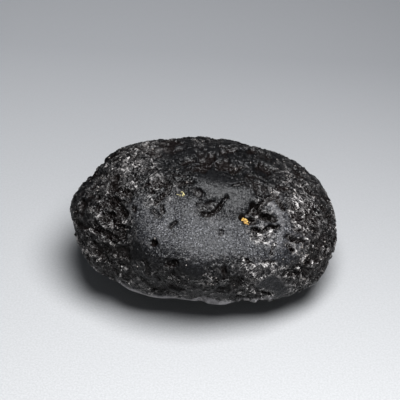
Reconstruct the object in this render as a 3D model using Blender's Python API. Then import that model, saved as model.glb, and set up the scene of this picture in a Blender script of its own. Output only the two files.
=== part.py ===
"""A black tektite: one pebble of natural glass with a broad smooth hollow, etched pits and grooves all over.

Metres, +Z up. The pebble lies on a small worn facet, and the origin is at the middle of its length and
width, on that facet's plane. +X runs along its length, and the broad hollow looks up and towards -Y.

A place on the pebble is a (station, turn) pair. The station is how far along the length it is from the
middle, towards +X. The turn is the angle round the length, in degrees, from the top (0) over the front
(90) and the underside (180) to the back (-90).
"""

import math
import random
from typing import NamedTuple

import bmesh
import bpy
import numpy as np
from mathutils import Vector, noise

MM = 0.001

# Driving dimensions
LENGTH = 50.8 * MM
WIDTH = 35.9 * MM
HEIGHT = 27.3 * MM
REST_CUT = 0.8 * MM  # what the resting facet takes off the underside
SEMI_AXES = Vector((51.0, 36.0, 27.7)) * MM / 2  # of the bare ellipsoid that the forms bend
SWEEP = 0.075  # how far the surface is moved along the length, per unit of width
DROOP = 0.067  # how much lower the surface lies, per unit of length towards +X

# Mesh detail
SPHERE_SUBDIVISIONS = 7
TRIANGLES = 9000  # about what is left after thinning; most of them stay where the surface bends

BOWL = 1.0  # a stroke's whole reach slopes, as in a soft hollow or swell
PIT = 0.55  # a stroke's outer half slopes, as in an etched pit


class Stroke(NamedTuple):
    """A hollow, pit or groove along a chain of (station, turn) places, in mm; a swell has negative depth."""

    name: str
    path: list
    reach: float  # from the chain to where the stroke ends
    depth: float
    wall: float = BOWL  # share of the reach that slopes


# The large forms: hollows, flats and swells that bend the ellipsoid's outline
FORMS = [
    Stroke("broad hollow", [(-3.5, 40), (3, 41), (13, 44)], 9.0, 1.4),
    Stroke("brow under the hollow", [(-7, 74), (3, 75), (13, 73)], 6.0, -1.0),
    Stroke("front swell", [(-8, 95), (3, 97), (12, 95)], 7, -0.3),
    Stroke("front face", [(-9, 120), (0, 122)], 8, 0.5),
    Stroke("lip of the foot, left", [(-11, 120), (-4, 122), (5, 121.5)], 2.8, -0.35),
    Stroke("lip of the foot, right", [(3.4, 121.5), (9, 120), (13, 118.5)], 2.6, -0.32),
    Stroke("dip behind the neck", [(2, 3), (5, 4)], 5.5, 0.5),
    Stroke("dark saddle", [(-4, -6), (9, -10)], 8, 0.5),
    Stroke("left shoulder", [(-15, -15)], 9, -0.3),
    Stroke("upper left corner", [(-24.7, -25), (-24.5, -8)], 2.8, 0.5),
    Stroke("neck of the left end", [(-23, -45), (-22, -20), (-20, 20)], 5, 0.8),
    Stroke("left end's lower swell", [(-19.5, 124)], 8, -1.1),
    Stroke("lower left swell", [(-18, 112), (-12, 118), (-8, 118)], 5.5, -0.8),
    Stroke("left tip flat", [(-24.5, 120)], 4, 0.4),
    Stroke("right end flat", [(25, 60), (25, -60)], 9, 0.6),
    Stroke("upper right corner", [(17, -50)], 9, -0.28),
    Stroke("lower right flank", [(14, 120), (21, 122)], 6, -0.75),
    Stroke("lower right corner", [(20, 134)], 7, -0.72),
    Stroke("right tip swell", [(24, 145)], 4.5, -0.4),
    Stroke("back hollow", [(8, -68)], 9, 0.8),
    Stroke("back lower swell", [(-10, -110), (2, -118)], 10, -0.7),
    Stroke("back left hollow", [(-14, -95)], 8, 0.9),
    Stroke("back right hollow", [(15, -125)], 8, 0.8),
]
# Wavelength and height of the uneven lie of the surface
LUMPS = [(12 * MM, 0.5 * MM), (5 * MM, 0.22 * MM)]

# Patches that stayed smooth: the etched pits keep off them
SMOOTH_PATCHES = [
    Stroke("floor of the hollow", [(-6.5, 47), (1.4, 51), (8, 55), (15.5, 54)], 8.5, 0),
    Stroke("hollow's neck", [(1, 12), (4, 19), (7, 22)], 4.5, 0),
    Stroke("left of the hooked groove", [(-4, 34), (-1.5, 35)], 4.5, 0),
    Stroke("patch right of the hollow", [(15.8, 33), (15.5, 40), (16.5, 50)], 3.2, 0),
    Stroke("patch left of the hollow", [(-11.2, 36), (-9.6, 46)], 4.0, 0),
    Stroke("patch below the hollow", [(0.6, 75)], 3.0, 0),
    Stroke("patch on the lower right", [(13.8, 90), (16, 108)], 4.0, 0),
    Stroke("lip of the foot", [(3.4, 121.5), (5.6, 121)], 1.9, 0),
    Stroke("rim of the foot", [(-12.5, 119.5), (-8, 121), (0, 122)], 1.6, 0),
    Stroke("back patch", [(-4, -88), (5, -92)], 6.5, 0),
    Stroke("underside patch", [(-5, 180), (5, 180)], 9.0, 0),
]
KEEP_OFF = 0.25  # a pit's middle lies no deeper than this in a smooth patch

# The pits and grooves that a glance picks out, each in its own place
MARKS = [
    Stroke("hooked groove", [(1.0, 36), (2.2, 35.5), (3.2, 33), (3.9, 29.5)], 0.6, 0.75, PIT),
    Stroke("hook's upper arm", [(3.9, 29.5), (4.4, 26.5), (4.7, 24)], 0.45, 0.5, PIT),
    Stroke("hook's step", [(1.0, 32), (2.5, 29)], 1.3, 0.25, PIT),
    Stroke("soil pit", [(8.2, 35.5), (9.0, 38), (10.6, 37)], 0.75, 0.8, PIT),
    Stroke("angled groove", [(9.8, 26), (11.0, 29), (11.9, 32.5), (12.9, 33), (13.9, 34)], 0.85, 1.15, PIT),
    Stroke("angled groove's left arm", [(9.7, 27), (9.4, 31), (9.0, 34)], 0.55, 0.5, PIT),
    Stroke("groove over the angled one", [(13.6, 17.5), (14.2, 20.5), (15.2, 24)], 0.6, 0.6, PIT),
    Stroke("lower groove", [(10.8, 43), (12.2, 44), (13.4, 41), (14.8, 41)], 0.65, 0.8, PIT),
    Stroke("slanted oval pit", [(17.2, 29), (17.9, 24.5)], 0.5, 0.4, PIT),
    Stroke("pits right of the oval one", [(17.8, 35), (18.6, 31.5), (19.6, 33.5)], 0.65, 0.55, PIT),
    Stroke("right pit", [(20.7, 38), (21.4, 41)], 0.7, 0.55, PIT),
    Stroke("right pit, upper", [(20.6, 10), (21.3, 6)], 0.6, 0.45, PIT),
    Stroke("right chain, upper", [(16.9, 48), (17.7, 51), (18.5, 52), (19.6, 53)], 0.6, 0.55, PIT),
    Stroke("right chain, lower", [(16.8, 56), (17.8, 61)], 0.6, 0.5, PIT),
    Stroke("arc under the hollow, right", [(13.0, 71.5), (13.6, 70), (14.5, 70.5)], 0.5, 0.5, PIT),
    Stroke("arc under the hollow", [(9.9, 68), (10.9, 72.5)], 0.5, 0.5, PIT),
    Stroke("hook on the left", [(-10.8, 21.5), (-10.1, 19), (-9.4, 20), (-8.7, 25)], 0.5, 0.45, PIT),
    Stroke("left chain", [(-7.3, 18), (-5.8, 19.5), (-6.3, 24), (-7.1, 28), (-7.9, 32)], 0.62, 0.6, PIT),
    Stroke("upright oval pit", [(-6.5, 33.5), (-6.2, 38.5)], 0.5, 0.45, PIT),
    Stroke("deep pit, lower left", [(-3.8, 75), (-2.5, 73)], 0.8, 0.8, PIT),
    Stroke("deep pit, left", [(-6.9, 61.5)], 0.85, 0.85, PIT),
    Stroke("left hollow pit", [(-13.9, 24.5), (-13.2, 27)], 0.9, 0.8, PIT),
    Stroke("left hollow pit, lower", [(-12.9, 32)], 0.7, 0.5, PIT),
    Stroke("left end pit", [(-17.3, 49), (-15.9, 47)], 0.9, 0.75, PIT),
    Stroke("left end groove", [(-19.5, 62), (-16.5, 66), (-13.5, 62)], 1.2, 0.5, PIT),
    Stroke("neck notch", [(-22.6, -23), (-21.2, -10), (-19.3, 0)], 0.8, 0.5, PIT),
    Stroke("right end groove", [(22.6, 50), (23.6, 62), (23.6, 85)], 0.8, 0.6, PIT),
    Stroke("lower right groove", [(16.8, 84), (19.9, 97), (22.4, 122)], 0.8, 0.6, PIT),
    Stroke("slot at the right edge", [(24.4, 52), (24.9, 78)], 0.7, 0.6, PIT),
    Stroke("pit over the right pit", [(19.6, 29), (20.1, 31)], 0.7, 0.6, PIT),
    Stroke("pit left of the right pit", [(17.8, 40), (18.6, 41)], 0.6, 0.5, PIT),
    Stroke("bottom pit", [(5.9, 74), (6.1, 78)], 0.7, 0.6, PIT),
    Stroke("bottom right pit", [(12.6, 104), (14.0, 108)], 0.8, 0.6, PIT),
    Stroke("left pit, middle", [(-13.7, 56), (-13.1, 59)], 0.8, 0.7, PIT),
    Stroke("left pit, lower", [(-15.8, 70), (-15.2, 72)], 0.7, 0.6, PIT),
    Stroke("left pit by the patch", [(-11.7, 38), (-11.5, 40)], 0.6, 0.5, PIT),
    Stroke("left end pit, upper", [(-19.6, 29), (-19.1, 31)], 0.8, 0.6, PIT),
    Stroke("top pits", [(5.9, 14), (7.4, 11), (8.6, 13)], 0.5, 0.35, PIT),
    Stroke("back groove", [(-12.0, -70), (-7.0, -62), (-1.0, -66)], 1.2, 0.8, PIT),
    Stroke("back pits", [(3.0, -58), (5.0, -66), (4.0, -76)], 0.9, 0.7, PIT),
    Stroke("back right groove", [(10.0, -84), (14.0, -96), (19.0, -92)], 1.2, 0.9, PIT),
    Stroke("underside groove", [(-14.0, 158), (-8.0, 150), (-3.0, 153)], 1.1, 0.8, PIT),
    Stroke("underside right groove", [(9.0, -158), (15.0, -150)], 1.2, 0.8, PIT),
]
MARK_WOBBLE = 0.45  # the share of the wobble below that these marks take

# The many unnamed pits
SCATTER_SEED = 20
SCATTER_COUNT = 260
SCATTER_REACH = (0.8 * MM, 1.5 * MM)
SCATTER_LENGTH = (0.0 * MM, 3.0 * MM)
SCATTER_DEPTH = 0.46  # of the reach
# Wavelength and size of the pits' uneven edges
WOBBLES = [(3.4 * MM, 0.9 * MM), (1.3 * MM, 0.45 * MM), (0.6 * MM, 0.22 * MM)]
# Where in the noise, in wavelengths, each axis of the wobble is read
WOBBLE_OFFSETS = (13.1, 57.2, 27.4)

GLASS_COLOUR = (0.017, 0.017, 0.019, 1.0)
GLASS_ROUGHNESS = 0.42


def on_ellipsoid(station, turn):
    """The point of the bare ellipsoid at a place."""
    half_length, half_width, half_height = SEMI_AXES
    along = station * MM
    girth = math.sqrt(1 - (along / half_length) ** 2)
    angle = math.radians(turn)
    return np.array((along, -half_width * girth * math.sin(angle), half_height * girth * math.cos(angle)))


def distance_to_chain(points, chain):
    """How far each point is from a chain of straight runs through a few points of the ellipsoid."""
    nearest = np.linalg.norm(points - chain[0], axis=1)
    for start, end in zip(chain, chain[1:]):
        run = end - start
        share = np.clip((points - start) @ run / (run @ run), 0, 1)
        nearest = np.minimum(nearest, np.linalg.norm(points - start - share[:, None] * run, axis=1))
    return nearest


def profile(distance, reach, wall):
    """1 on a stroke's floor and 0 past its reach, with a smooth slope between."""
    share = np.clip((1 - distance / reach) / wall, 0, 1)
    return share * share * (3 - 2 * share)


def stroke_profile(points, stroke):
    chain = [on_ellipsoid(*place) for place in stroke.path]
    return profile(distance_to_chain(points, chain), stroke.reach * MM, stroke.wall)


def random_chain(rng, lengths):
    """A short straight run in a random direction, at a random spot of the ellipsoid."""
    direction = np.array([rng.gauss(0, 1) for _ in range(3)])
    middle = direction / np.linalg.norm(direction) * SEMI_AXES
    outward = middle / np.array(SEMI_AXES) ** 2
    along = np.cross(outward, [rng.gauss(0, 1) for _ in range(3)])
    half_run = along / np.linalg.norm(along) * rng.uniform(*lengths) / 2
    return middle, [middle - half_run, middle + half_run]


def noise_at(points, wavelength):
    return np.array([noise.noise(place) for place in (points / wavelength).tolist()])


def wobble(points):
    """A smooth uneven shift at each point; distances measured from shifted points have uneven edges."""
    shift = np.zeros_like(points)
    for wavelength, size in WOBBLES:
        for axis, offset in enumerate(WOBBLE_OFFSETS):
            shift[:, axis] += size * noise_at(points + offset * wavelength, wavelength)
    return shift


def quietness(points):
    """0 where the surface is etched, up to 1 in the middle of a smooth patch."""
    return np.max([stroke_profile(points, patch) for patch in SMOOTH_PATCHES], axis=0)


def scattered_pits(points):
    """How deep the many unnamed pits are at each point."""
    rng = random.Random(SCATTER_SEED)
    depth = np.zeros(len(points))
    for _ in range(SCATTER_COUNT):
        middle, chain = random_chain(rng, SCATTER_LENGTH)
        reach = rng.uniform(*SCATTER_REACH)
        if quietness(middle[None])[0] > KEEP_OFF:
            continue
        pit = SCATTER_DEPTH * reach * profile(distance_to_chain(points, chain), reach, PIT)
        depth = np.maximum(depth, pit)
    return depth


def pebble_points(directions):
    """Where the pebble's surface is in each unit direction, before it leans."""
    even = directions * np.sqrt(np.array(SEMI_AXES))
    bare = even / np.linalg.norm(even / np.array(SEMI_AXES), axis=1)[:, None]
    outward = bare / np.array(SEMI_AXES) ** 2
    outward /= np.linalg.norm(outward, axis=1)[:, None]
    sunk = sum(form.depth * MM * stroke_profile(bare, form) for form in FORMS)
    sunk += sum(height * noise_at(bare, wavelength) for wavelength, height in LUMPS)
    shift = wobble(bare)
    etched = scattered_pits(bare + shift)
    for mark in MARKS:
        etched = np.maximum(etched, mark.depth * MM * stroke_profile(bare + MARK_WOBBLE * shift, mark))
    return bare - (sunk + etched)[:, None] * outward


def leaned(points):
    """The points with the front swept towards -X and the +X end let down."""
    stations, across, height = points.T
    return np.stack((stations + SWEEP * across, across, height - DROOP * stations), axis=1)


def fitted(points):
    """The points stretched and moved to the driving dimensions, with the underside REST_CUT below z 0."""
    low, high = points.min(axis=0), points.max(axis=0)
    size = np.array((LENGTH, WIDTH, HEIGHT + REST_CUT))
    corner = np.array((-LENGTH / 2, -WIDTH / 2, -REST_CUT))
    return (points - low) / (high - low) * size + corner


def glass_material():
    material = bpy.data.materials.new("black tektite glass")
    material.use_nodes = True
    shader = material.node_tree.nodes["Principled BSDF"]
    shader.inputs["Base Color"].default_value = GLASS_COLOUR
    shader.inputs["Roughness"].default_value = GLASS_ROUGHNESS
    shader.inputs["Metallic"].default_value = 0.0
    shader.inputs["IOR"].default_value = 1.5
    return material


def add_object(name, mesh):
    made = bpy.data.objects.new(name, mesh)
    bpy.context.scene.collection.objects.link(made)
    return made


def rest_cutter():
    """A block under z 0 that cuts the resting facet."""
    mesh = bpy.data.meshes.new("rest cutter")
    shape = bmesh.new()
    bmesh.ops.create_cube(shape, size=1.5 * LENGTH)
    bmesh.ops.translate(shape, verts=shape.verts, vec=(0, 0, -0.75 * LENGTH))
    shape.to_mesh(mesh)
    shape.free()
    cutter = add_object("rest_cutter", mesh)
    cutter.hide_render = True
    cutter.display_type = "WIRE"
    return cutter


def tektite():
    """The pebble: a dense sphere pushed to shape, thinned, and cut flat where it rests."""
    shape = bmesh.new()
    bmesh.ops.create_icosphere(shape, subdivisions=SPHERE_SUBDIVISIONS, radius=1.0)
    directions = np.array([vertex.co.normalized() for vertex in shape.verts])
    for vertex, point in zip(shape.verts, fitted(leaned(pebble_points(directions)))):
        vertex.co = point
    dense_triangles = len(shape.faces)
    mesh = bpy.data.meshes.new("tektite")
    shape.to_mesh(mesh)
    shape.free()
    mesh.materials.append(glass_material())
    pebble = add_object("tektite", mesh)

    thin = pebble.modifiers.new("thin", "DECIMATE")
    thin.ratio = TRIANGLES / dense_triangles
    rest = pebble.modifiers.new("resting facet", "BOOLEAN")
    rest.operation = "DIFFERENCE"
    rest.object = rest_cutter()
    return pebble


def main():
    for old in list(bpy.data.objects):
        bpy.data.objects.remove(old)
    tektite()


main()
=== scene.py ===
"""The tektite as it looks: a black glass pebble, etched all over but for a few smooth patches."""
import math
import random
from typing import NamedTuple

import bmesh
import bpy
import numpy as np
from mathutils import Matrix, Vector, noise
from mathutils.bvhtree import BVHTree

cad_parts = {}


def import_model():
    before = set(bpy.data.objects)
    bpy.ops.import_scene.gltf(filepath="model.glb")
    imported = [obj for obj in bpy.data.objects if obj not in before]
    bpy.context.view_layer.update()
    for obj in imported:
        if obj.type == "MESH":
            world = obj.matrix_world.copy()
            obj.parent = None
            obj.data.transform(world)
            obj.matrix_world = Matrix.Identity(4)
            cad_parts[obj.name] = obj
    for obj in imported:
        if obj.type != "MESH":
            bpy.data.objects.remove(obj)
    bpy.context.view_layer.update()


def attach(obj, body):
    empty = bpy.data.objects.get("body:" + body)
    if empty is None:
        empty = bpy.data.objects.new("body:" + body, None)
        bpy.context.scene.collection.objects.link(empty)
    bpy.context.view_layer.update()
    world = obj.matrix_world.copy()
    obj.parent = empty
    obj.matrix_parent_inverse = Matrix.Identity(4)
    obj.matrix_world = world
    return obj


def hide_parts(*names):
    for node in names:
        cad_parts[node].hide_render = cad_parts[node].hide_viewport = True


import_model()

MM = 0.001

# The pebble's body, from the same values as the CAD part
LENGTH = 50.8 * MM
WIDTH = 35.9 * MM
HEIGHT = 27.3 * MM
REST_CUT = 0.8 * MM
SEMI_AXES = Vector((51.0, 36.0, 27.7)) * MM / 2  # of the bare ellipsoid
SWEEP = 0.075  # how far the front leans towards -X, as a share of its distance in Y
DROOP = 0.067  # how far the +X end is let down, as a share of its distance in X
SPHERE_SUBDIVISIONS = 8
TRIANGLES = 196000
# The side of the unit sphere that gets smaller triangles, for the narrow grooves of the front
MARKED_DIRECTION = Vector((0.16, -0.62, 0.77)).normalized()
MARKED_EDGE = 0.80

# The share of a stroke's reach that slopes: all of it in a bowl, and the outer part of it in a pit
BOWL = 1.0
PIT = 0.55


class Stroke(NamedTuple):
    """A hollow, pit or groove along a chain of places, or a swell where its depth is negative.

    A place is a station along X in mm and a turn in degrees: 0 is the top, 90 the front, 180 the underside.
    The reach and the depth are in mm, and the wall is the share of the reach that slopes.
    """

    name: str
    path: list
    reach: float
    depth: float
    wall: float = BOWL


FORMS = [
    Stroke("broad hollow", [(-3.5, 40), (3, 41), (13, 44)], 9.0, 1.4),
    Stroke("brow under the hollow", [(-7, 74), (3, 75), (13, 73)], 6.0, -1.0),
    Stroke("front swell", [(-8, 95), (3, 97), (12, 95)], 7, -0.3),
    Stroke("front face", [(-9, 120), (0, 122)], 8, 0.5),
    Stroke("lip of the foot, left", [(-11, 120), (-4, 122), (5, 121.5)], 2.8, -0.35),
    Stroke("lip of the foot, right", [(3.4, 121.5), (9, 120), (13, 118.5)], 2.6, -0.32),
    Stroke("dip behind the neck", [(2, 3), (5, 4)], 5.5, 0.5),
    Stroke("dark saddle", [(-4, -6), (9, -10)], 8, 0.5),
    Stroke("left shoulder", [(-15, -15)], 9, -0.3),
    Stroke("upper left corner", [(-24.7, -25), (-24.5, -8)], 2.8, 0.5),
    Stroke("neck of the left end", [(-23, -45), (-22, -20), (-20, 20)], 5, 0.8),
    Stroke("left end's lower swell", [(-19.5, 124)], 8, -1.1),
    Stroke("lower left swell", [(-18, 112), (-12, 118), (-8, 118)], 5.5, -0.8),
    Stroke("left tip flat", [(-24.5, 120)], 4, 0.4),
    Stroke("right end flat", [(25, 60), (25, -60)], 9, 0.6),
    Stroke("upper right corner", [(17, -50)], 9, -0.28),
    Stroke("lower right flank", [(14, 120), (21, 122)], 6, -0.75),
    Stroke("lower right corner", [(20, 134)], 7, -0.72),
    Stroke("right tip swell", [(24, 145)], 4.5, -0.4),
    Stroke("back hollow", [(8, -68)], 9, 0.8),
    Stroke("back lower swell", [(-10, -110), (2, -118)], 10, -0.7),
    Stroke("back left hollow", [(-14, -95)], 8, 0.9),
    Stroke("back right hollow", [(15, -125)], 8, 0.8),
]
# Wavelength and height of the noise that makes the body uneven
LUMPS = [(12 * MM, 0.5 * MM), (5 * MM, 0.22 * MM)]

# Where the glass is smooth
SMOOTH_PATCHES = [
    Stroke("floor of the hollow", [(-6.5, 47), (1.4, 51), (8, 55), (15.5, 54)], 8.5, 0),
    Stroke("hollow's neck", [(1, 12), (4, 19), (7, 22)], 4.5, 0),
    Stroke("left of the hooked groove", [(-4, 34), (-1.5, 35)], 4.5, 0),
    Stroke("patch right of the hollow", [(15.8, 33), (15.5, 40), (16.5, 50)], 3.2, 0),
    Stroke("patch left of the hollow", [(-11.2, 36), (-9.6, 46)], 4.0, 0),
    Stroke("patch below the hollow", [(0.6, 75)], 3.0, 0),
    Stroke("patch on the lower right", [(13.8, 90), (16, 108)], 4.0, 0),
    Stroke("lip of the foot", [(3.4, 121.5), (5.6, 121)], 1.9, 0),
    Stroke("rim of the foot", [(-12.5, 119.5), (-8, 121), (0, 122)], 1.6, 0),
    Stroke("back patch", [(-4, -88), (5, -92)], 6.5, 0),
    Stroke("underside patch", [(-5, 180), (5, 180)], 9.0, 0),
]
SMOOTH_GAIN = 1.3  # the etching is gone where a smooth patch's profile is over 1 / SMOOTH_GAIN
KEEP_OFF = 0.25  # a scattered pit's middle lies no deeper than this in a smooth patch

# Where the etching is weak; depth is the share that is missing
CALM_PATCHES = [
    Stroke("dark saddle", [(-5, -12), (2, -10), (12, -12)], 8.0, 0.55),
    Stroke("top edge, right", [(14, -30), (20, -30)], 7.0, 0.35),
    Stroke("left nose", [(-21, 55)], 6.0, 0.3),
    Stroke("low left", [(-9, 88), (-13, 84)], 5.5, 0.4),
    Stroke("top edge, left", [(-16, -22), (-8, -36)], 7.0, 0.45),
    Stroke("left shoulder", [(-15, 2), (-11, -12)], 7.0, 0.45),
    Stroke("front", [(-8, 100), (6, 104)], 8.0, 0.4),
    Stroke("neck of the hollow", [(0.5, 18), (4, 23), (7, 25)], 4.0, 0.8),
    Stroke("between the grooves", [(13.6, 23), (15.0, 33), (15.8, 42), (14.9, 58)], 2.8, 0.85),
    Stroke("left end's edge", [(-24.5, 60), (-24, 0), (-20, -38)], 4.5, 0.5),
    Stroke("back", [(-8, -60), (10, -75)], 8.0, 0.4),
]

# The pits and grooves that stand out
MARKS = [
    Stroke("hooked groove", [(1.0, 36), (2.2, 35.5), (3.2, 33), (3.9, 29.5)], 0.6, 0.75, PIT),
    Stroke("hook's upper arm", [(3.9, 29.5), (4.4, 26.5), (4.7, 24)], 0.45, 0.5, PIT),
    Stroke("hook's step", [(1.0, 32), (2.5, 29)], 1.3, 0.25, PIT),
    Stroke("pit over the hook, 1", [(0.1, 31)], 0.45, 0.35, PIT),
    Stroke("pit over the hook, 2", [(1.0, 29.5), (1.5, 30.5)], 0.4, 0.35, PIT),
    Stroke("pit over the hook, 3", [(2.1, 27)], 0.45, 0.3, PIT),
    Stroke("pit over the hook, 4", [(0.4, 27)], 0.4, 0.3, PIT),
    Stroke("soil pit", [(8.2, 35.5), (9.0, 38), (10.6, 37)], 0.75, 0.8, PIT),
    Stroke("angled groove", [(9.8, 26), (11.0, 29), (11.9, 32.5), (12.9, 33), (13.9, 34)], 0.85, 1.15, PIT),
    Stroke("angled groove's left arm", [(9.7, 27), (9.4, 31), (9.0, 34)], 0.55, 0.5, PIT),
    Stroke("groove over the angled one", [(13.6, 17.5), (14.2, 20.5), (15.2, 24)], 0.6, 0.6, PIT),
    Stroke("lower groove", [(10.8, 43), (12.2, 44), (13.4, 41), (14.8, 41)], 0.65, 0.8, PIT),
    Stroke("upper rib", [(10.9, 43.5), (11.6, 45.2), (12.5, 45), (13.2, 43)], 0.26, 0.22, PIT),
    Stroke("second rib", [(10.7, 45.5), (11.5, 47.4), (12.6, 47), (13.6, 45)], 0.26, 0.25, PIT),
    Stroke("third rib", [(11.0, 47.6), (11.8, 49.4), (12.8, 48.8), (14.0, 47.4)], 0.26, 0.22, PIT),
    Stroke("fourth rib", [(11.2, 50), (12.0, 51.5), (13.2, 50.5)], 0.26, 0.25, PIT),
    Stroke("last rib", [(12.2, 53.4), (13.4, 52.4)], 0.26, 0.2, PIT),
    Stroke("slanted oval pit", [(17.2, 29), (17.9, 24.5)], 0.5, 0.4, PIT),
    Stroke("pits right of the oval one", [(17.8, 35), (18.6, 31.5), (19.6, 33.5)], 0.65, 0.55, PIT),
    Stroke("right pit", [(20.7, 38), (21.4, 41)], 0.7, 0.55, PIT),
    Stroke("right pit, upper", [(20.6, 10), (21.3, 6)], 0.6, 0.45, PIT),
    Stroke("right chain, upper", [(16.9, 48), (17.7, 51), (18.5, 52), (19.6, 53)], 0.6, 0.55, PIT),
    Stroke("right chain, lower", [(16.8, 56), (17.8, 61)], 0.6, 0.5, PIT),
    Stroke("crack", [(14.5, 56), (14.1, 64)], 0.32, 0.35, PIT),
    Stroke("arc under the hollow, right", [(13.0, 71.5), (13.6, 70), (14.5, 70.5)], 0.5, 0.5, PIT),
    Stroke("arc under the hollow", [(9.9, 68), (10.9, 72.5)], 0.5, 0.5, PIT),
    Stroke("small oval pit", [(5.1, 47), (5.1, 50)], 0.5, 0.45, PIT),
    Stroke("slanted pit", [(-4.3, 49), (-3.6, 45)], 0.42, 0.4, PIT),
    Stroke("hook on the left", [(-10.8, 21.5), (-10.1, 19), (-9.4, 20), (-8.7, 25)], 0.5, 0.45, PIT),
    Stroke(
        "chain on the left", [(-7.3, 18), (-5.8, 19.5), (-6.3, 24), (-7.1, 28), (-7.9, 32)], 0.62, 0.6, PIT
    ),
    Stroke("upright oval pit", [(-6.5, 33.5), (-6.2, 38.5)], 0.5, 0.45, PIT),
    Stroke("dent under the upright pit", [(-8.0, 39), (-6.9, 42.5)], 0.8, 0.3, PIT),
    Stroke("deep pit, lower left", [(-3.8, 75), (-2.5, 73)], 0.8, 0.8, PIT),
    Stroke("deep pit, left", [(-6.9, 61.5)], 0.85, 0.85, PIT),
    Stroke("left hollow pit", [(-13.9, 24.5), (-13.2, 27)], 0.9, 0.8, PIT),
    Stroke("left hollow pit, lower", [(-12.9, 32)], 0.7, 0.5, PIT),
    Stroke("left end pit", [(-17.3, 49), (-15.9, 47)], 0.9, 0.75, PIT),
    Stroke("left end groove", [(-19.5, 62), (-16.5, 66), (-13.5, 62)], 1.2, 0.5, PIT),
    Stroke("neck notch", [(-22.6, -23), (-21.2, -10), (-19.3, 0)], 0.8, 0.5, PIT),
    Stroke("right end groove", [(22.6, 50), (23.6, 62), (23.6, 85)], 0.8, 0.6, PIT),
    Stroke("lower right groove", [(16.8, 84), (19.9, 97), (22.4, 122)], 0.8, 0.6, PIT),
    Stroke("slot at the right edge", [(24.4, 52), (24.9, 78)], 0.7, 0.6, PIT),
    Stroke("pit over the right pit", [(19.6, 29), (20.1, 31)], 0.7, 0.6, PIT),
    Stroke("pit left of the right pit", [(17.8, 40), (18.6, 41)], 0.6, 0.5, PIT),
    Stroke("bottom pit", [(5.9, 74), (6.1, 78)], 0.7, 0.6, PIT),
    Stroke("bottom right pit", [(12.6, 104), (14.0, 108)], 0.8, 0.6, PIT),
    Stroke("left pit, middle", [(-13.7, 56), (-13.1, 59)], 0.8, 0.7, PIT),
    Stroke("left pit, lower", [(-15.8, 70), (-15.2, 72)], 0.7, 0.6, PIT),
    Stroke("left pit by the patch", [(-11.7, 38), (-11.5, 40)], 0.6, 0.5, PIT),
    Stroke("left crack", [(-14.8, 33), (-14.6, 38)], 0.5, 0.5, PIT),
    Stroke("left end pit, upper", [(-19.6, 29), (-19.1, 31)], 0.8, 0.6, PIT),
    Stroke("top pits", [(5.9, 14), (7.4, 11), (8.6, 13)], 0.5, 0.35, PIT),
    Stroke("back groove", [(-12.0, -70), (-7.0, -62), (-1.0, -66)], 1.2, 0.8, PIT),
    Stroke("back pits", [(3.0, -58), (5.0, -66), (4.0, -76)], 0.9, 0.7, PIT),
    Stroke("back right groove", [(10.0, -84), (14.0, -96), (19.0, -92)], 1.2, 0.9, PIT),
    Stroke("underside groove", [(-14.0, 158), (-8.0, 150), (-3.0, 153)], 1.1, 0.8, PIT),
    Stroke("underside right groove", [(9.0, -158), (15.0, -150)], 1.2, 0.8, PIT),
]
# Where the etching comes back within a smooth patch; depth is its share
ETCHED_PATCHES = [
    Stroke("by the hook", [(0.7, 35), (1.6, 31)], 2.0, 0.9),
    Stroke("over the angled groove", [(8.8, 31), (10.6, 26.5), (13.0, 30)], 1.6, 0.45),
    Stroke("under the lower groove", [(10.6, 46), (12.4, 49.5), (13.8, 46.5)], 2.2, 0.8),
    Stroke("by the left chain", [(-8.6, 31), (-6.8, 25)], 2.6, 0.7),
    Stroke("under the hollow", [(4.5, 70), (9.5, 71)], 2.6, 0.7),
]
MARK_WOBBLE = 0.45  # the share of the wobble that the named marks take
MARK_FLOOR = (0.8 * MM, 0.6)  # wavelength and share of the unevenness of a mark's floor
RIM = 0.5 * MM  # how far round a mark the etching reaches into a smooth patch
RIM_SHARE = 0.8  # how strong the etching is there
# Wavelength and size of the noise that makes the edges of pits and patches uneven
WOBBLES = [(3.4 * MM, 0.9 * MM), (1.3 * MM, 0.45 * MM), (0.6 * MM, 0.22 * MM)]
WOBBLE_OFFSETS = (13.1, 57.2, 27.4)  # where in the noise, in wavelengths, each axis of the wobble is read


class Scatter(NamedTuple):
    """Many unnamed pits. Each draws its reach, its length and how deep in a smooth patch it may lie."""

    seed: int
    count: int
    reaches: tuple
    lengths: tuple
    depth: float  # as a share of the pit's reach
    keep_off: tuple


COARSE_PITS = Scatter(20, 260, (0.8 * MM, 1.5 * MM), (0, 3.0 * MM), 0.46, (KEEP_OFF, KEEP_OFF))
# The fine etching, too small for the CAD part
SMALL_PITS = Scatter(5, 900, (0.35 * MM, 0.75 * MM), (0.6 * MM, 2.6 * MM), 0.55, (KEEP_OFF, KEEP_OFF))
FINE_PITS = Scatter(7, 4000, (0.22 * MM, 0.45 * MM), (0.3 * MM, 1.3 * MM), 0.45, (0.05, 0.75))
# Spacing and depth of crowded pits with sharp ridges between them, and the share of the wobble that they take
SCALLOPS = [(1.5 * MM, 0.20 * MM), (0.8 * MM, 0.11 * MM)]
SCALLOP_WOBBLE = 0.5
# Wavelength and height of the ridges of the crust
CRUST = [(2.6 * MM, 0.12 * MM), (1.2 * MM, 0.06 * MM)]
CREST = 0.28 * MM  # how far below its top a ridge still counts as a crest
# The etching comes and goes: the noise's wavelength and range, and the etching's share over that range
CALM_WAVELENGTH = 7 * MM
CALM_NOISE = (-0.4, 0.4)
CALM_SHARE = (0.55, 1.0)

# The dust share by how far the surface faces up: thin on the top, thick on the flanks and the foot. It is
# partly painted light: the flanks and the down-facing glass, which the key lights little, are painted paler,
# and the brightly lit top darker
PAINTED_LIGHT_AND_DUST_FACING = (-0.6, 0.05, 0.75)
PAINTED_LIGHT_AND_DUST_SHARE = (0.75, 0.92, 0.07)
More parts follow.
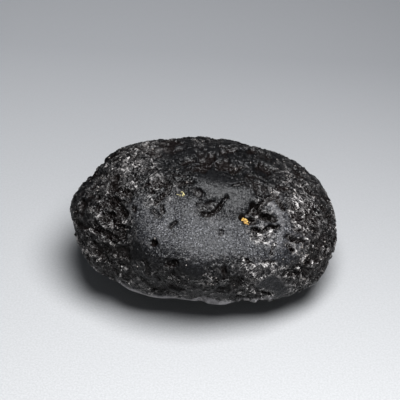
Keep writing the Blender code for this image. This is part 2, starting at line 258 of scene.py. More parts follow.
# Where the share is raised or lowered from that; depth is the change in its share. The dusty strokes are
# dust; the upper right, lower right and right end are painted light, paler for the brighter light from the
# right; the strokes that lower the share are painted shade, and the rim of the foot is part of its painted
# highlight
DUST_AND_PAINTED_LIGHT = [
    Stroke("dusty left shoulder", [(-15.9, 5), (-12, -14)], 8, 0.72),
    # Painted light: the upper right is painted paler, for the light from the right
    Stroke("dusty upper right", [(16.5, -6), (18.5, 22)], 8, 0.54),
    Stroke("dusty grooves", [(11, 24), (13, 46)], 6, 0.6),
    # Painted light: the lower right is painted paler, for the light from the right
    Stroke("dusty lower right", [(13, 84), (18, 92)], 6, 0.5),
    Stroke("dusty hook", [(3, 27)], 5, 0.3),
    Stroke("dusty left face", [(-17, 40), (-16, 60)], 6, 0.25),
    Stroke("dusty left chain", [(-7, 20), (-7, 31)], 4, 0.3),
    # Painted light: the right end is painted paler, for the light from the right
    Stroke("dusty right end", [(20.5, 45), (20.5, 75)], 7.5, 0.67),
    # Painted shade: the front, brow, neck, nose, left edge and top are painted darker
    Stroke("cleaner front", [(-12, 88), (-6, 96), (6, 98)], 8, -0.32),
    Stroke("cleaner brow", [(-9, 72), (2, 75), (7, 76)], 6.5, -0.40),
    Stroke("clean neck", [(1, 17), (7, 25)], 6, -0.6),
    Stroke("cleaner nose", [(-22, 50), (-20, 70)], 6, -0.15),
    Stroke("cleaner left edge", [(-24.5, 60), (-24, 0), (-20, -38)], 4, -0.4),
    Stroke("clean top, left", [(-6, -4), (-3, 2)], 7, -0.24),
    Stroke("clean top, right", [(7, -8), (9, -4)], 6, -0.4),
    # Painted highlight: more pale flecks on the rim of the foot, where its lip catches the light
    Stroke("dusty rim of the foot", [(-14, 121), (-7.7, 122), (0, 122.5)], 1.5, 0.7),
    Stroke("dusty rim, right", [(9, 120), (14, 118)], 1.5, 0.5),
]
# Where the smooth glass has a pale film; depth is its share. Over 1 it is painted paler still, a painted
# highlight: strongest on the rim of the foot, where its lip catches the light, and faint on the patches right
# of the hollow, for their sheen
FILM_AND_PAINTED_HIGHLIGHT = [
    Stroke("floor of the hollow", [(-6.5, 47), (1.4, 51), (8, 53), (15.5, 53)], 8.5, 1.0),
    # The patches right of the hollow go past 1: a faint painted highlight for their sheen
    Stroke("right of the hollow", [(8.5, 52), (14.3, 59)], 5.5, 1.17),
    Stroke("left of the hooked groove", [(-4, 34), (-1.5, 35)], 4.5, 0.6),
    Stroke("patch left of the hollow", [(-11.2, 36), (-9.6, 46)], 4.0, 0.6),
    Stroke("patch right of the hollow", [(13.4, 22), (15.0, 33), (15.8, 42), (14.9, 58)], 3.5, 1.27),
    Stroke("patch on the lower right", [(13.8, 90), (16, 108)], 4.0, 0.8),
    # Painted highlight: the lip and rim of the foot go far past 1 and are painted palest
    Stroke("lip of the foot", [(2.2, 120.5), (6.8, 119.5)], 2.4, 2.6),
    Stroke("rim of the foot, left", [(-14.1, 118.5), (-7.7, 120), (1.5, 121)], 2.0, 2.4),
    Stroke("rim of the foot, right", [(7.0, 119.5), (13.5, 116.5)], 1.8, 2.3),
    Stroke("back patch", [(-4, -88), (5, -92)], 6.5, 0.8),
]
FILM_LOSS = 0.7  # how much of the film is gone where the etching comes back

# Soil caught in the pits: (station, turn, spread, count, sizes) of each group of crumbs
OCHRE_SPOTS = [
    (9.2, 37, 0.20 * MM, 16, (0.14 * MM, 0.27 * MM)),
    (8.7, 36, 0.22 * MM, 8, (0.10 * MM, 0.18 * MM)),
    (9.6, 38.5, 0.22 * MM, 5, (0.10 * MM, 0.18 * MM)),
]
CREAM_SPOTS = [
    (-2.9, 25, 0.22 * MM, 6, (0.12 * MM, 0.24 * MM)),
    (-3.9, 26, 0.28 * MM, 5, (0.07 * MM, 0.13 * MM)),
]
PALE_SIZES = (0.07 * MM, 0.15 * MM)
PALE_SPOTS = [
    (-12.7, 56, 0.25 * MM, 4, (0.12 * MM, 0.22 * MM)),
    (-6.9, 59, 0.15 * MM, 2, (0.12 * MM, 0.2 * MM)),
    (17.6, 70, 1.6 * MM, 20, PALE_SIZES),
    (20.5, 66, 1.6 * MM, 20, PALE_SIZES),
    (3.5, 82, 1.8 * MM, 14, PALE_SIZES),
]
# Pale crumbs all over the etched glass: how many groups, and each group's spread and fewest and most crumbs
LOOSE_SEED = 9
LOOSE_GROUPS = 170
LOOSE_SPREAD = 0.8 * MM
LOOSE_CRUMBS = (1, 3)
# A crumb's shape, as shares of its size: its middle's height over the skin, its stretch and its unevenness
CRUMB_RISE = 0.15
CRUMB_STRETCH = (0.6, 1.3)
CRUMB_UNEVENNESS = 0.7
CRUMB_WAVES = 1.3
CRUMB_NOISE_RANGE = 50
DROP = 5 * MM  # how far above the bare ellipsoid a crumb starts its fall


class Soil(NamedTuple):
    """One kind of soil: the name of its piece, the seed of its crumbs, and its light and dark tones."""

    name: str
    seed: int
    light: tuple
    dark: tuple


OCHRE = Soil("ochre_soil", 3, (0.44, 0.285, 0.080, 1), (0.14, 0.080, 0.028, 1))
CREAM = Soil("cream_soil", 4, (0.34, 0.30, 0.15, 1), (0.14, 0.125, 0.07, 1))
PALE = Soil("pale_soil", 5, (0.17, 0.155, 0.145, 1), (0.07, 0.060, 0.055, 1))
SOIL_ROUGHNESS = 0.8

# Textures of the glass, in cells or waves a metre
GRAIN_PATCHES = 260.0
FLECKS = 4800.0
BOLD_FLECKS = 4000.0
STREAKS = 1700.0
STREAK_BEND = 0.0007  # in metres
STREAK_GAPS = 1100.0
MOTTLE = 420.0
DRIFT = 140.0
FILM_GRAINS = 5400.0
GRIT = 2400.0
GRIT_HEIGHT = 0.16 * MM
SMALL_FACETS = 6000.0
BROAD_FACETS = 4200.0
# The two ways in which the etching is drawn out, and how much
GRAIN = Vector((0.76, 0.48, 0.45)).normalized()
CROSS_GRAIN = Vector((0.72, -0.45, -0.52)).normalized()
SQUEEZE = 0.72

# Tones of the glass and of what lies on it
CLEAN_GLASS = (0.0035, 0.0035, 0.0040, 1)
DUST_AND_PAINTED_LIGHT_TONE = (0.0062, 0.0046, 0.0043, 1)
THIN_FILM = (0.0035, 0.0037, 0.0048, 1)
THICK_FILM = (0.0150, 0.0155, 0.0183, 1)
FILM_GRAIN = (0.082, 0.083, 0.089, 1)
FILM_GAP = (0.0008, 0.0008, 0.0010, 1)
RIDGE = (0.125, 0.116, 0.114, 1)
PORE = (0.0010, 0.0009, 0.0009, 1)
# painted shade for the floors of the deeper pits
PAINTED_PIT_SHADE = (0.0030, 0.0018, 0.0016, 1)
# a painted highlight, for the lit rim of the foot and the sheen beside the hollow
PAINTED_HIGHLIGHT = (0.30, 0.290, 0.296, 1)
# pale flecks of dust, and painted glints on the pits' rims
DUST_AND_GLINT_FLECK = (0.95, 0.91, 0.89, 1)
SMOOTH_ROUGHNESS = 0.45
ETCHED_ROUGHNESS = 0.16
GLASS_IOR = 1.5
GLASS_SPECULAR = 0.20

# The sheet under the pebble: its tones by corner, and where along Y and along X they are reached. These tones
# are painted light: a painted fall-off, bright at the front and darker at the back and the right
SHEET_HALF = 1.5
SHEET_BACK_LEFT = (0.190, 0.194, 0.202, 1)
SHEET_FRONT_LEFT = (0.304, 0.306, 0.308, 1)
SHEET_BACK_RIGHT = (0.142, 0.145, 0.151, 1)
SHEET_FRONT_RIGHT = (0.286, 0.288, 0.290, 1)
SHEET_BACK_TO_FRONT = (0.07, -0.06)
SHEET_LEFT_TO_RIGHT = (-0.05, 0.05)
# Its dark specks and its relief, in waves a metre; the specks show more towards the front
SHEET_SPECK = (0.10, 0.10, 0.10, 1)
SHEET_SPECKS = 2600.0
SHEET_SPECK_SPAN = (0.06, -0.06)
SHEET_SPECK_SHARE = (0.04, 0.26)
SHEET_MOTTLE = 900.0
SHEET_RELIEF = 0.3 * MM
SHEET_ROUGHNESS = 0.55


class Lamp(NamedTuple):
    """A round area light that faces the foot of the pebble."""

    name: str
    place: tuple
    size: float
    power: float
    colour: tuple


LAMPS = [
    Lamp("key", (0.0433, -0.0513, 0.245), 0.16, 1.86, (0.98, 0.988, 1.0)),
    Lamp("fill", (0.119, -0.430, 0.23), 0.3, 0.40, (0.96, 0.98, 1.0)),
]
ROOM_COLOUR = (0.62, 0.66, 0.72, 1)
ROOM_STRENGTH = 0.13

# The camera: its angles in degrees, its lens and sensor in mm, and its aim
AZIMUTH = 5.50
ELEVATION = 42.0
DISTANCE = 0.32
LENS = 151.4
SENSOR = 36.0
NEAREST = 0.01
AIM = Vector((0.0, 0.0, 0.0134))
AIM_RIGHT = -0.79 * MM
AIM_UP = 3.95 * MM


def on_ellipsoid(station, turn):
    """The point of the bare ellipsoid at a place."""
    half_length, half_width, half_height = SEMI_AXES
    girth = math.sqrt(1 - (station * MM / half_length) ** 2)
    angle = math.radians(turn)
    across = -half_width * girth * math.sin(angle)
    return np.array((station * MM, across, half_height * girth * math.cos(angle)))


def distance_to_chain(points, chain):
    """How far each point is from a chain of straight runs through a few points of the ellipsoid."""
    nearest = np.linalg.norm(points - chain[0], axis=1)
    for start, end in zip(chain, chain[1:]):
        run = end - start
        share = np.clip((points - start) @ run / (run @ run), 0, 1)
        nearest = np.minimum(nearest, np.linalg.norm(points - start - share[:, None] * run, axis=1))
    return nearest


def profile(distance, reach, wall):
    """1 on a stroke's floor and 0 past its reach, with a smooth slope between."""
    share = np.clip((1 - distance / reach) / wall, 0, 1)
    return share * share * (3 - 2 * share)


class Surface:
    """Points sorted along the length, so that a small pit looks only at the points beside it."""

    def __init__(self, points):
        self.order = np.argsort(points[:, 0], kind="stable")
        self.sorted_points = points[self.order]
        self.stations = self.sorted_points[:, 0]

    def pit(self, chain, reach, wall):
        """(the points near a chain, the profile there)"""
        low = min(place[0] for place in chain) - reach
        high = max(place[0] for place in chain) + reach
        first, last = np.searchsorted(self.stations, (low, high))
        near = self.sorted_points[first:last]
        return self.order[first:last], profile(distance_to_chain(near, chain), reach, wall)


def stroke_profile(points, stroke):
    chain = [on_ellipsoid(*place) for place in stroke.path]
    return profile(distance_to_chain(points, chain), stroke.reach * MM, stroke.wall)


def deepest(points, strokes):
    """The largest depth of these strokes at each point."""
    return np.max([stroke.depth * stroke_profile(points, stroke) for stroke in strokes], axis=0)


def random_chain(rng, lengths):
    """(the middle, the two ends) of a short run in a random direction, at a random spot of the ellipsoid"""
    direction = np.array([rng.gauss(0, 1) for _ in range(3)])
    middle = direction / np.linalg.norm(direction) * SEMI_AXES
    outward = middle / np.array(SEMI_AXES) ** 2
    along = np.cross(outward, [rng.gauss(0, 1) for _ in range(3)])
    half_run = along / np.linalg.norm(along) * rng.uniform(*lengths) / 2
    return middle, [middle - half_run, middle + half_run]


def noise_at(points, wavelength):
    return np.array([noise.noise(place) for place in (points / wavelength).tolist()])


def scallops(points, spacing):
    """1 in the middle of each of many crowded cells and 0 on the ridges between them."""
    share = np.empty(len(points))
    for place, point in enumerate((points / spacing).tolist()):
        nearest, second = noise.voronoi(point)[0][:2]
        share[place] = second - nearest
    share = np.clip(2 * share, 0, 1)
    return share * (2 - share)


def wobble(points):
    """A smooth uneven shift at each point; distances measured from shifted points have uneven edges."""
    shift = np.zeros_like(points)
    for wavelength, size in WOBBLES:
        for axis, offset in enumerate(WOBBLE_OFFSETS):
            shift[:, axis] += size * noise_at(points + offset * wavelength, wavelength)
    return shift


def quietness(points):
    """0 where the surface is etched, up to 1 in the middle of a smooth patch."""
    return np.max([stroke_profile(points, patch) for patch in SMOOTH_PATCHES], axis=0)


def scattered_pits(points, scatter):
    """How deep the many unnamed pits are at each point."""
    rng = random.Random(scatter.seed)
    surface = Surface(points)
    depth = np.zeros(len(points))
    drawn = []
    for _ in range(scatter.count):
        drawn.append((random_chain(rng, scatter.lengths), rng.uniform(*scatter.reaches)))
    quiet = quietness(np.array([middle for (middle, _), _ in drawn]))
    for ((_, chain), reach), calm in zip(drawn, quiet):
        if calm > rng.uniform(*scatter.keep_off):
            continue
        near, share = surface.pit(chain, reach, PIT)
        depth[near] = np.maximum(depth[near], scatter.depth * reach * share)
    return depth


def cut_marks(marked, floor_share, etched, reopened):
    """Deepens etched by the named marks, and opens the etching round each of them."""
    for mark in MARKS:
        chain = [on_ellipsoid(*place) for place in mark.path]
        near, share = marked.pit(chain, mark.reach * MM, mark.wall)
        etched[near] = np.maximum(etched[near], mark.depth * MM * share * floor_share[near])
        near, share = marked.pit(chain, mark.reach * MM + RIM, BOWL)
        reopened[near] = np.maximum(reopened[near], RIM_SHARE * share)


def etching_share(bare, uneven):
    """How strong the etching is at each point, before anything reopens it: none in a smooth patch."""
    share = 1 - np.clip(quietness(uneven) * SMOOTH_GAIN, 0, 1)
    share *= np.interp(noise_at(bare, CALM_WAVELENGTH), CALM_NOISE, CALM_SHARE)
    for patch in CALM_PATCHES:
        share *= 1 - patch.depth * stroke_profile(uneven, patch)
    return share


def leaned(points):
    """The points with the front swept towards -X and the +X end let down."""
    stations, across, height = points.T
    return np.stack((stations + SWEEP * across, across, height - DROOP * stations), axis=1)


def fitted(points, low, high):
    """The points stretched so that a box becomes the driving dimensions, with REST_CUT of it below z 0."""
    size = np.array((LENGTH, WIDTH, HEIGHT + REST_CUT))
    corner = np.array((-LENGTH / 2, -WIDTH / 2, -REST_CUT))
    return (points - low) / (high - low) * size + corner


def pebble_surface(directions):
    """(the surface's points, and by name what its material reads at each of them)"""
    # The square root keeps the triangles of the long sides about as large as those of the ends
    even = directions * np.sqrt(np.array(SEMI_AXES))
    bare = even / np.linalg.norm(even / np.array(SEMI_AXES), axis=1)[:, None]
    outward = bare / np.array(SEMI_AXES) ** 2
    outward /= np.linalg.norm(outward, axis=1)[:, None]
    sunk = sum(form.depth * MM * stroke_profile(bare, form) for form in FORMS)
    sunk += sum(height * noise_at(bare, wavelength) for wavelength, height in LUMPS)

    shift = wobble(bare)
    uneven = bare + shift
    etched = np.maximum(scattered_pits(uneven, COARSE_PITS), scattered_pits(uneven, SMALL_PITS))
    reopened = deepest(uneven, ETCHED_PATCHES)
    floor_wavelength, floor_unevenness = MARK_FLOOR
    floor_share = 1 + floor_unevenness * noise_at(bare, floor_wavelength)
    cut_marks(Surface(bare + MARK_WOBBLE * shift), floor_share, etched, reopened)
    rough = np.maximum(etching_share(bare, uneven), reopened)
    fine = scattered_pits(bare, FINE_PITS)
    crust = sum(height * (2 * np.abs(noise_at(uneven, wavelength)) - 0.5) for wavelength, height in CRUST)
    crowded = bare + SCALLOP_WOBBLE * shift
    crust -= sum(height * scallops(crowded, spacing) for spacing, height in SCALLOPS)
    total = sunk + etched + rough * (fine - crust)

    dust = np.interp(outward[:, 2], PAINTED_LIGHT_AND_DUST_FACING, PAINTED_LIGHT_AND_DUST_SHARE)
    dust += sum(patch.depth * stroke_profile(uneven, patch) for patch in DUST_AND_PAINTED_LIGHT)
    return bare - total[:, None] * outward, {
        "film": deepest(uneven, FILM_AND_PAINTED_HIGHLIGHT) * (1 - FILM_LOSS * reopened),
        "rough": rough,
        "depth": (etched + rough * fine) / MM,
        "dust": np.clip(dust, 0, 1),
        "crest": np.clip(1.0 + (crust - fine) / CREST, 0, 1),
    }


def link(name, data):
    made = bpy.data.objects.new(name, data)
    bpy.context.scene.collection.objects.link(made)
    return made


def dense_sphere():
    """(a unit sphere's mesh, with smaller triangles on the marked side, and how many it has)"""
    shape = bmesh.new()
    bmesh.ops.create_icosphere(shape, subdivisions=SPHERE_SUBDIVISIONS, radius=1.0)
    marked = []
    for edge in shape.edges:
        start, end = edge.verts
        if (start.co + end.co).dot(MARKED_DIRECTION) > 2 * MARKED_EDGE:
            marked.append(edge)
    bmesh.ops.subdivide_edges(shape, edges=marked, cuts=1)
    bmesh.ops.triangulate(shape, faces=[face for face in shape.faces if len(face.verts) > 3])
    triangles = len(shape.faces)
    dense = bpy.data.meshes.new("dense pebble")
    shape.to_mesh(dense)
    shape.free()
    return dense, triangles


def thinned(dense, ratio):
    """The mesh with fewer triangles, most of them where it bends."""
    holder = link("dense pebble", dense)
    holder.modifiers.new("thin", "DECIMATE").ratio = ratio
    graph = bpy.context.evaluated_depsgraph_get()
    mesh = bpy.data.meshes.new_from_object(holder.evaluated_get(graph))
    bpy.data.objects.remove(holder)
    return mesh


def pebble():
    """(the pebble's skin, the box that its leaned points had before they were fitted)"""
    dense, triangles = dense_sphere()
    directions = np.empty(len(dense.vertices) * 3, np.float32)
    dense.vertices.foreach_get("co", directions)
    directions = directions.reshape(-1, 3).astype(float)
    directions /= np.linalg.norm(directions, axis=1)[:, None]
    points, readings = pebble_surface(directions)
    points = leaned(points)
    box = points.min(axis=0), points.max(axis=0)
    points = fitted(points, *box)
    points[:, 2] = np.maximum(points[:, 2], 0)
    dense.vertices.foreach_set("co", points.astype(np.float32).ravel())
    for name, values in readings.items():
        layer = dense.attributes.new(name, "FLOAT", "POINT")
        layer.data.foreach_set("value", values.astype(np.float32))
    dense.update()
    mesh = thinned(dense, TRIANGLES / triangles)
    mesh.shade_smooth()
    mesh.materials.append(glass_material())
    return link("tektite_skin", mesh), box


class Nodes:
    """Shorthand for building a node tree."""

    def __init__(self, name):
        self.material = bpy.data.materials.new(name)
        self.material.use_nodes = True
        self.tree = self.material.node_tree
        self.shader = self.tree.nodes["Principled BSDF"]
        self.coordinates = self.add("ShaderNodeTexCoord").outputs["Object"]

    def add(self, kind, inputs=None, **settings):
        node = self.tree.nodes.new(kind)
        for key, value in settings.items():
            setattr(node, key, value)
        for key, value in (inputs or {}).items():
            self.set(node.inputs[key], value)
        return node

    def set(self, socket, value):
        if isinstance(value, bpy.types.NodeSocket):
            self.tree.links.new(value, socket)
        else:
            socket.default_value = value

    def math(self, operation, *values):
        return self.add("ShaderNodeMath", dict(enumerate(values)), operation=operation).outputs[0]

    def product(self, first, *others):
        for other in others:
            first = self.math("MULTIPLY", first, other)
        return first

    def vector_math(self, operation, *vectors):
        return self.add("ShaderNodeVectorMath", dict(enumerate(vectors)), operation=operation).outputs[0]

    def scaled(self, vector, scale):
        inputs = {"Vector": vector, "Scale": scale}
        return self.add("ShaderNodeVectorMath", inputs, operation="SCALE").outputs[0]

    def reading(self, name):
        return self.add("ShaderNodeAttribute", attribute_name=name).outputs["Fac"]

    def ramp(self, value, low, high, to_low=0.0, to_high=1.0):
        inputs = {"Value": value, "From Min": low, "From Max": high, "To Min": to_low, "To Max": to_high}
        return self.add("ShaderNodeMapRange", inputs).outputs["Result"]

    def mix(self, share, first, second):
        node = self.add("ShaderNodeMix", {"Factor": share}, data_type="RGBA")
        colours = [socket for socket in node.inputs if socket.type == "RGBA"]
        self.set(colours[0], first)
        self.set(colours[1], second)
        return [socket for socket in node.outputs if socket.type == "RGBA"][0]

    def noise(self, scale, detail=2.0, roughness=0.5):
        inputs = {"Vector": self.coordinates, "Scale": scale, "Detail": detail, "Roughness": roughness}
        return self.add("ShaderNodeTexNoise", inputs).outputs["Fac"]

    def squeezed(self, direction, share):
        """The coordinates, squeezed along a direction, so that a texture comes out drawn out that way."""
        inputs = {0: self.coordinates, 1: direction}
        along = self.add("ShaderNodeVectorMath", inputs, operation="DOT_PRODUCT").outputs["Value"]
        pull = self.scaled(direction, self.product(along, share))
        return self.vector_math("SUBTRACT", self.coordinates, pull)

    def cells(self, scale, coordinates=None):
        """The random colour of each small cell."""
        inputs = {"Vector": coordinates or self.coordinates, "Scale": scale}
        return self.add("ShaderNodeTexVoronoi", inputs).outputs["Color"]

    def channels(self, colour):
        """The outputs Red, Green and Blue of a colour, as three numbers."""
        return self.add("ShaderNodeSeparateColor", {"Color": colour}).outputs

    def cell_edge(self, scale, bend):
        """How far each point is from the border of its cell, with the cells bent out of shape."""
        shift = self.add("ShaderNodeTexNoise", {"Vector": self.coordinates, "Scale": scale, "Detail": 1.0})
        bent = self.vector_math("ADD", self.coordinates, self.scaled(shift.outputs["Color"], bend))
        inputs = {"Vector": bent, "Scale": scale}
        return self.add("ShaderNodeTexVoronoi", inputs, feature="DISTANCE_TO_EDGE").outputs["Distance"]

    def tilt(self, scale, size, coordinates=None):
        """A random lean of each small cell."""
        lean = self.vector_math("SUBTRACT", self.cells(scale, coordinates), (0.5, 0.5, 0.5))
        return self.scaled(lean, size)


def flecks(n, grained):
    """(1 on each small fleck or streak that can hold dust and painted glints, 1 on each cell that can be a
    pore)
    """
    cell = n.channels(n.cells(FLECKS, grained))
    bold = n.channels(n.cells(BOLD_FLECKS, grained))
    dots = n.math("MAXIMUM", n.ramp(cell["Red"], 0.72, 0.80), n.ramp(bold["Green"], 0.92, 0.96))
    borders = n.ramp(n.cell_edge(STREAKS, STREAK_BEND), 0.12, 0.05)
    streaks = n.product(borders, n.ramp(n.noise(STREAK_GAPS, 2.0, 0.6), 0.49, 0.55))
    return n.math("MAXIMUM", dots, streaks), n.ramp(cell["Blue"], 0.42, 0.34)


def film_colour(n):
    """The film on smooth glass: uneven, with pale grains and bare gaps."""
    grain = n.channels(n.cells(FILM_GRAINS))
    colour = n.mix(grain["Green"], THIN_FILM, THICK_FILM)
    colour = n.mix(n.ramp(grain["Red"], 0.86, 0.97), colour, FILM_GRAIN)
    return n.mix(n.ramp(grain["Blue"], 0.20, 0.08), colour, FILM_GAP)


def glass_colour(n, grained, rough, dust_and_painted_light_share):
    depth, crest, film = n.reading("depth"), n.reading("crest"), n.reading("film")
    fleck, pore = flecks(n, grained)
    drift = n.ramp(n.noise(DRIFT), 0.38, 0.62, 0.55, 1.0)
    mottle = n.ramp(n.noise(MOTTLE, 3.0, 0.6), 0.40, 0.60, 0.38, 1.0)
    # The pale flecks are dust and painted light: on the crests of the pits' rims they are painted glints, on
    # the pits' floors they thin out as painted shade, and on smooth glass they are few
    dust = n.product(fleck, mottle, drift, n.ramp(rough, 0.0, 0.7, 0.03, 1.0))
    dust = n.product(dust, n.ramp(dust_and_painted_light_share, 0.0, 0.85, 0.03, 1.0), n.ramp(crest, 0.2, 0.8, 0.15, 1.0))
    dust = n.product(dust, n.ramp(depth, 0.12, 0.5, 1.0, 0.3))
    ridge = n.product(n.ramp(crest, 0.25, 1.0), rough, n.ramp(dust_and_painted_light_share, 0.34, 1.0, 0.0, 0.84), drift)

    # The glass tone is warmer and paler where the share of dust and painted light is high
    colour = n.mix(n.product(rough, dust_and_painted_light_share), CLEAN_GLASS, DUST_AND_PAINTED_LIGHT_TONE)
    colour = n.mix(film, colour, film_colour(n))
    colour = n.mix(ridge, colour, RIDGE)
    colour = n.mix(n.product(pore, n.ramp(rough, 0.1, 0.6, 0.0, 0.92)), colour, PORE)
    # Painted shade: the deeper a pit, the darker and warmer its floor is painted
    colour = n.mix(n.ramp(depth, 0.15, 0.5), colour, PAINTED_PIT_SHADE)
    # The rim of the foot is painted the palest: a painted highlight where its lip catches the light
    colour = n.mix(n.ramp(film, 1.1, 2.6), colour, PAINTED_HIGHLIGHT)
    # The flecks go on last: dust, with painted glints on the crests
    return n.mix(dust, colour, DUST_AND_GLINT_FLECK)


def facets(n, grained, rough, etched):
    """The normal: fine grit, with a random lean of each small facet and of each broad drawn-out one."""
    height = n.product(n.noise(GRIT, 1.5, 0.6), n.ramp(rough, 0.0, 1.0, 0.10, 0.9))
    grit = n.add("ShaderNodeBump", {"Height": height, "Distance": GRIT_HEIGHT, "Strength": 1.0})
    small = n.tilt(SMALL_FACETS, n.ramp(etched, 0.0, 1.0, 0.48, 1.3))
    broad = n.tilt(BROAD_FACETS, n.ramp(etched, 0.0, 1.0, 0.0, 1.5), grained)
    lean = n.vector_math("ADD", n.vector_math("ADD", grit.outputs["Normal"], small), broad)
    return n.vector_math("NORMALIZE", lean)


def glass_material():
    n = Nodes("black tektite glass, etched")
    grain_patch = n.ramp(n.noise(GRAIN_PATCHES), 0.46, 0.54)
    grained = n.mix(grain_patch, n.squeezed(GRAIN, SQUEEZE), n.squeezed(CROSS_GRAIN, SQUEEZE))
    rough, dust_and_painted_light_share = n.reading("rough"), n.reading("dust")
    # Where the share of dust and painted light is low, as on its top, its facets lean less and are duller
    etched = n.product(rough, n.ramp(dust_and_painted_light_share, 0.1, 0.5, 0.5, 1.0))
    n.set(n.shader.inputs["Base Color"], glass_colour(n, grained, rough, dust_and_painted_light_share))
    n.set(n.shader.inputs["Roughness"], n.ramp(etched, 0.0, 1.0, SMOOTH_ROUGHNESS, ETCHED_ROUGHNESS))
    n.set(n.shader.inputs["Normal"], facets(n, grained, rough, etched))
    n.shader.inputs["IOR"].default_value = GLASS_IOR
    n.shader.inputs["Specular IOR Level"].default_value = GLASS_SPECULAR
    return n.material


def soil_material(kind):
    n = Nodes(kind.name.replace("_", " "))
    tone = n.mix(n.ramp(n.noise(3000.0, 2.0, 0.6), 0.4, 0.6), kind.light, kind.dark)
    n.set(n.shader.inputs["Base Color"], tone)
    n.shader.inputs["Roughness"].default_value = SOIL_ROUGHNESS
    return n.material


def add_crumb(shape, rng, place, outward, size):
    """A small uneven crumb, half sunk in the surface."""
    middle = Vector(place) + Vector(outward) * size * CRUMB_RISE
    before = len(shape.verts)
    bmesh.ops.create_icosphere(shape, subdivisions=2, radius=1.0)
    shape.verts.ensure_lookup_table()
    stretch = Vector([rng.uniform(*CRUMB_STRETCH) for _ in range(3)])
    offset = Vector([rng.uniform(0, CRUMB_NOISE_RANGE) for _ in range(3)])
    for vertex in shape.verts[before:]:
        length = size * (1 + CRUMB_UNEVENNESS * noise.noise(vertex.co * CRUMB_WAVES + offset))
        vertex.co = middle + Vector(a * b for a, b in zip(vertex.co, stretch)) * length


def crumbs(kind, spots, skin_tree, box):
    """Crumbs of one kind of soil, dropped on the skin round each spot."""
    rng = random.Random(kind.seed)
    shape = bmesh.new()
    for station, turn, spread, count, sizes in spots:
        middle = on_ellipsoid(station, turn)
        outward = middle / np.array(SEMI_AXES) ** 2
        outward /= np.linalg.norm(outward)
        for _ in range(count):
            shift = np.array([rng.gauss(0, spread) for _ in range(3)])
            below = middle + shift - outward * (shift @ outward)
            fall = np.array((below + outward * DROP, below))
            start, end = (Vector(place) for place in fitted(leaned(fall), *box))
            inward = (end - start).normalized()
            hit, _, _, _ = skin_tree.ray_cast(start, inward)
            if hit is not None:
                add_crumb(shape, rng, hit, -inward, rng.uniform(*sizes))
    mesh = bpy.data.meshes.new(kind.name)
    shape.to_mesh(mesh)
    shape.free()
    mesh.materials.append(soil_material(kind))
    mesh.shade_smooth()
    return link(kind.name, mesh)


def loose_spots():
    """Random spots in the etched glass, each with a few pale crumbs."""
    rng = random.Random(LOOSE_SEED)
    spots = []
    while len(spots) < LOOSE_GROUPS:
        direction = Vector([rng.gauss(0, 1) for _ in range(3)]).normalized()
        station = direction.x * SEMI_AXES.x / MM
        turn = math.degrees(math.atan2(-direction.y, direction.z))
        if quietness(on_ellipsoid(station, turn)[None])[0] < KEEP_OFF:
            spots.append((station, turn, LOOSE_SPREAD, rng.randint(*LOOSE_CRUMBS), PALE_SIZES))
    return spots


def sheet_material():
    n = Nodes("pale sheet")
    place = n.add("ShaderNodeSeparateXYZ", {"Vector": n.coordinates}).outputs
    # Painted light: the tone runs from dark at the back to bright at the front, and darker to the right
    front = n.ramp(place["Y"], *SHEET_BACK_TO_FRONT)
    left = n.mix(front, SHEET_BACK_LEFT, SHEET_FRONT_LEFT)
    right = n.mix(front, SHEET_BACK_RIGHT, SHEET_FRONT_RIGHT)
    colour = n.mix(n.ramp(place["X"], *SHEET_LEFT_TO_RIGHT), left, right)
    specks = n.ramp(n.noise(SHEET_SPECKS, 2.0, 0.7), 0.35, 0.65)
    specks = n.product(specks, n.ramp(place["Y"], *SHEET_SPECK_SPAN, *SHEET_SPECK_SHARE))
    n.set(n.shader.inputs["Base Color"], n.mix(specks, colour, SHEET_SPECK))
    n.shader.inputs["Roughness"].default_value = SHEET_ROUGHNESS
    mottle = n.ramp(n.noise(SHEET_MOTTLE, 3.0, 0.6), 0.3, 0.7, 0.96, 1.04)
    relief = n.add("ShaderNodeBump", {"Height": mottle, "Distance": SHEET_RELIEF, "Strength": 0.5})
    n.set(n.shader.inputs["Normal"], relief.outputs["Normal"])
    return n.material


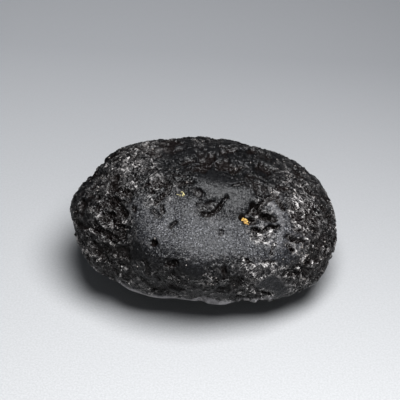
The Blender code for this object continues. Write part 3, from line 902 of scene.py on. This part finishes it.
def sheet():
    mesh = bpy.data.meshes.new("sheet")
    corners = [(-SHEET_HALF, -SHEET_HALF, 0), (SHEET_HALF, -SHEET_HALF, 0)]
    corners += [(SHEET_HALF, SHEET_HALF, 0), (-SHEET_HALF, SHEET_HALF, 0)]
    mesh.from_pydata(corners, [], [(0, 1, 2, 3)])
    mesh.materials.append(sheet_material())
    return link("sheet", mesh)


def area_light(lamp):
    data = bpy.data.lights.new(lamp.name, "AREA")
    data.shape = "DISK"
    data.size = lamp.size
    data.energy = lamp.power
    data.color = lamp.colour
    made = link(lamp.name, data)
    made.location = lamp.place
    made.rotation_mode = "QUATERNION"
    made.rotation_quaternion = (-Vector(lamp.place)).to_track_quat("-Z", "Y")


def camera():
    azimuth, elevation = math.radians(AZIMUTH), math.radians(ELEVATION)
    flat = math.cos(elevation)
    back = Vector((math.sin(azimuth) * flat, -math.cos(azimuth) * flat, math.sin(elevation)))
    right = Vector((math.cos(azimuth), math.sin(azimuth), 0))
    up = back.cross(right)
    data = bpy.data.cameras.new("camera")
    data.lens = LENS
    data.sensor_width = SENSOR
    data.clip_start = NEAREST
    made = link("camera", data)
    made.location = AIM + right * AIM_RIGHT + up * AIM_UP + back * DISTANCE
    made.rotation_mode = "QUATERNION"
    made.rotation_quaternion = (-back).to_track_quat("-Z", "Y")
    bpy.context.scene.camera = made


def world():
    made = bpy.data.worlds.new("room")
    made.use_nodes = True
    background = made.node_tree.nodes["Background"]
    background.inputs["Color"].default_value = ROOM_COLOUR
    background.inputs["Strength"].default_value = ROOM_STRENGTH
    bpy.context.scene.world = made


camera()
world()
for lamp in LAMPS:
    area_light(lamp)
floor = sheet()

skin, bare_box = pebble()
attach(skin, "root")
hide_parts("tektite")

skin_tree = BVHTree.FromObject(skin, bpy.context.evaluated_depsgraph_get())
dirt = [
    crumbs(OCHRE, OCHRE_SPOTS, skin_tree, bare_box),
    crumbs(CREAM, CREAM_SPOTS, skin_tree, bare_box),
    crumbs(PALE, PALE_SPOTS + loose_spots(), skin_tree, bare_box),
]
for piece in dirt:
    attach(piece, "root")

bpy.context.scene.view_settings.view_transform = "Standard"
bpy.context.scene.view_settings.look = "Medium High Contrast"
